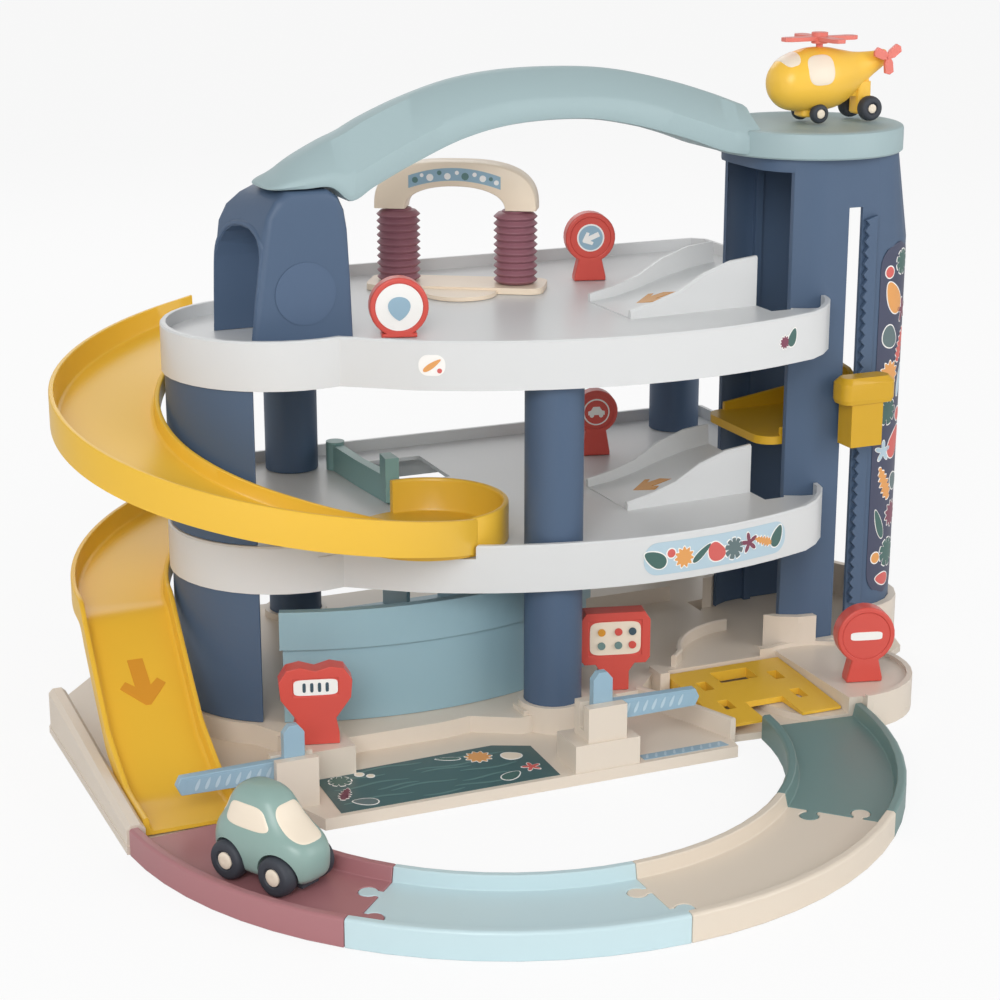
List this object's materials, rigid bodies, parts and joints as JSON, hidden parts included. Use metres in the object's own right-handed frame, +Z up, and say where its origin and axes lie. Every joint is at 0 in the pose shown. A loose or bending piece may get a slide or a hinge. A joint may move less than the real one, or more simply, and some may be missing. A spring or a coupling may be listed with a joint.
{
  "type": "toy garage",
  "caption": "Toy garage with parking decks, spiral ramps, a hand lift, car wash, signs, barriers, ring track, toy car and toy helicopter.",
  "frame": {"origin": "centre of the ring track's circle, on the underside of the base", "axes": "+X to the right along the front of the base, +Y to the back, +Z up"},
  "size_m": [0.639, 0.6, 0.464],
  "materials": {
    "base_beige": "gloss",
    "deck_white": "gloss",
    "tower_blue": "satin",
    "handle_teal": "satin",
    "ramp_yellow": "gloss",
    "lift_mustard": "gloss",
    "ground_blue": "gloss",
    "sign_red": "gloss",
    "wash_mauve": "gloss",
    "wash_cream": "gloss",
    "track_burgundy": "gloss",
    "track_green": "gloss",
    "track_blue": "gloss",
    "track_beige": "gloss",
    "barrier_blue": "gloss",
    "gate_green": "gloss",
    "car_green": "gloss",
    "cream": "gloss",
    "tyre_grey": "satin",
    "heli_yellow": "gloss",
    "rotor_coral": "gloss",
    "axle_steel": "satin"
  },
  "bodies": {
    "garage": {"base_plate": "base_beige", "left_tower_lower_shell": "tower_blue", "left_tower_upper_shell": "tower_blue", "left_tower_cap": "tower_blue", "deck_level_1": "deck_white", "deck_level_2": "deck_white", "left_column_lower": "tower_blue", "left_column_upper": "tower_blue", "front_post_lower": "tower_blue", "front_post_upper": "tower_blue", "back_post_lower": "tower_blue", "back_post_upper": "tower_blue", "lift_tower_shell": "tower_blue", "rack_strip": "tower_blue", "handle_arch": "handle_teal", "ramp_upper": "ramp_yellow", "ramp_lower": "ramp_yellow", "ground_ramp": "ground_blue", "wash_base": "wash_cream", "wash_arch": "wash_cream", "sign_pin": "sign_red", "sign_arrow": "sign_red", "sign_parking": "sign_red", "stop_sign": "sign_red", "parking_meter": "sign_red", "fuel_pump": "sign_red", "track_burgundy": "track_burgundy", "track_blue": "track_blue", "track_beige": "track_beige", "track_green": "track_green"},
    "lift": {"lift_platform": "lift_mustard", "lift_grip": "lift_mustard", "lift_pawl": "cream"},
    "barrier_left_arm": {"barrier_left": "barrier_blue"},
    "barrier_right_arm": {"barrier_right": "barrier_blue"},
    "roller_left": {"wash_roller_left": "wash_mauve"},
    "roller_right": {"wash_roller_right": "wash_mauve"},
    "service_flap": {"service_plate": "ramp_yellow"},
    "gate": {"diverter_gate": "gate_green"},
    "car": {"car_body": "car_green", "car_window": "cream", "car_chassis": "tyre_grey"},
    "car_rear_wheels": {"car_axle_rear": "axle_steel", "car_wheel_rear_left": "tyre_grey", "car_wheel_rear_right": "tyre_grey"},
    "car_front_wheels": {"car_axle_front": "axle_steel", "car_wheel_front_left": "tyre_grey", "car_wheel_front_right": "tyre_grey"},
    "helicopter": {"heli_body": "heli_yellow", "heli_window": "cream"},
    "heli_rear_wheels": {"heli_axle_rear": "axle_steel", "heli_wheel_rear_left": "tyre_grey", "heli_wheel_rear_right": "tyre_grey"},
    "heli_front_wheels": {"heli_axle_front": "axle_steel", "heli_wheel_front_left": "tyre_grey", "heli_wheel_front_right": "tyre_grey"},
    "main_rotor": {"heli_main_rotor": "rotor_coral"},
    "tail_rotor": {"heli_tail_rotor": "rotor_coral"}
  },
  "joints": [
    {"name": "lift_slide", "type": "slide", "parent": "garage", "child": "lift", "axis": [0, 0, 1], "range_m": [-0.15, 0.12]},
    {"name": "barrier_left_tilt", "type": "hinge", "parent": "garage", "child": "barrier_left_arm", "pos_m": [-0.15, -0.008, 0.033], "axis": [0, 1, 0], "range_deg": [0, 75]},
    {"name": "barrier_right_tilt", "type": "hinge", "parent": "garage", "child": "barrier_right_arm", "pos_m": [0.058, -0.025, 0.044], "axis": [0, -1, 0], "range_deg": [0, 75]},
    {"name": "wash_roller_left_spin", "type": "hinge", "parent": "garage", "child": "roller_left", "pos_m": [0.03504, 0.27801, 0.3], "axis": [0, 0, 1], "continuous": true},
    {"name": "wash_roller_right_spin", "type": "hinge", "parent": "garage", "child": "roller_right", "pos_m": [0.10996, 0.23299, 0.3], "axis": [0, 0, 1], "continuous": true},
    {"name": "service_plate_tilt", "type": "hinge", "parent": "garage", "child": "service_flap", "pos_m": [0.205, 0.074, 0.015], "axis": [-1, 0, 0], "range_deg": [0, 20]},
    {"name": "diverter_gate_swing", "type": "hinge", "parent": "garage", "child": "gate", "pos_m": [-0.014, 0.29, 0.1373], "axis": [0, 0, 1], "range_deg": [0, 35]},
    {"name": "car_lift_off", "type": "slide", "parent": "garage", "child": "car", "axis": [0, 0, 1], "range_m": [0, 0.08]},
    {"name": "car_rear_axle_spin", "type": "hinge", "parent": "car", "child": "car_rear_wheels", "pos_m": [-0.20521, -0.08938, 0.0218], "axis": [0.8746, 0.4848, 0], "continuous": true},
    {"name": "car_front_axle_spin", "type": "hinge", "parent": "car", "child": "car_front_wheels", "pos_m": [-0.18679, -0.12262, 0.0218], "axis": [0.8746, 0.4848, 0], "continuous": true},
    {"name": "helicopter_lift_off", "type": "slide", "parent": "garage", "child": "helicopter", "axis": [0, 0, 1], "range_m": [0, 0.08]},
    {"name": "heli_rear_axle_spin", "type": "hinge", "parent": "helicopter", "child": "heli_rear_wheels", "pos_m": [0.343, 0.141, 0.4096], "axis": [0, -1, 0], "continuous": true},
    {"name": "heli_front_axle_spin", "type": "hinge", "parent": "helicopter", "child": "heli_front_wheels", "pos_m": [0.301, 0.141, 0.4076], "axis": [0, -1, 0], "continuous": true},
    {"name": "main_rotor_spin", "type": "hinge", "parent": "helicopter", "child": "main_rotor", "pos_m": [0.307, 0.141, 0.456], "axis": [0, 0, 1], "continuous": true},
    {"name": "tail_rotor_spin", "type": "hinge", "parent": "helicopter", "child": "tail_rotor", "pos_m": [0.359, 0.136, 0.445], "axis": [0, -1, 0], "continuous": true}
  ]
}
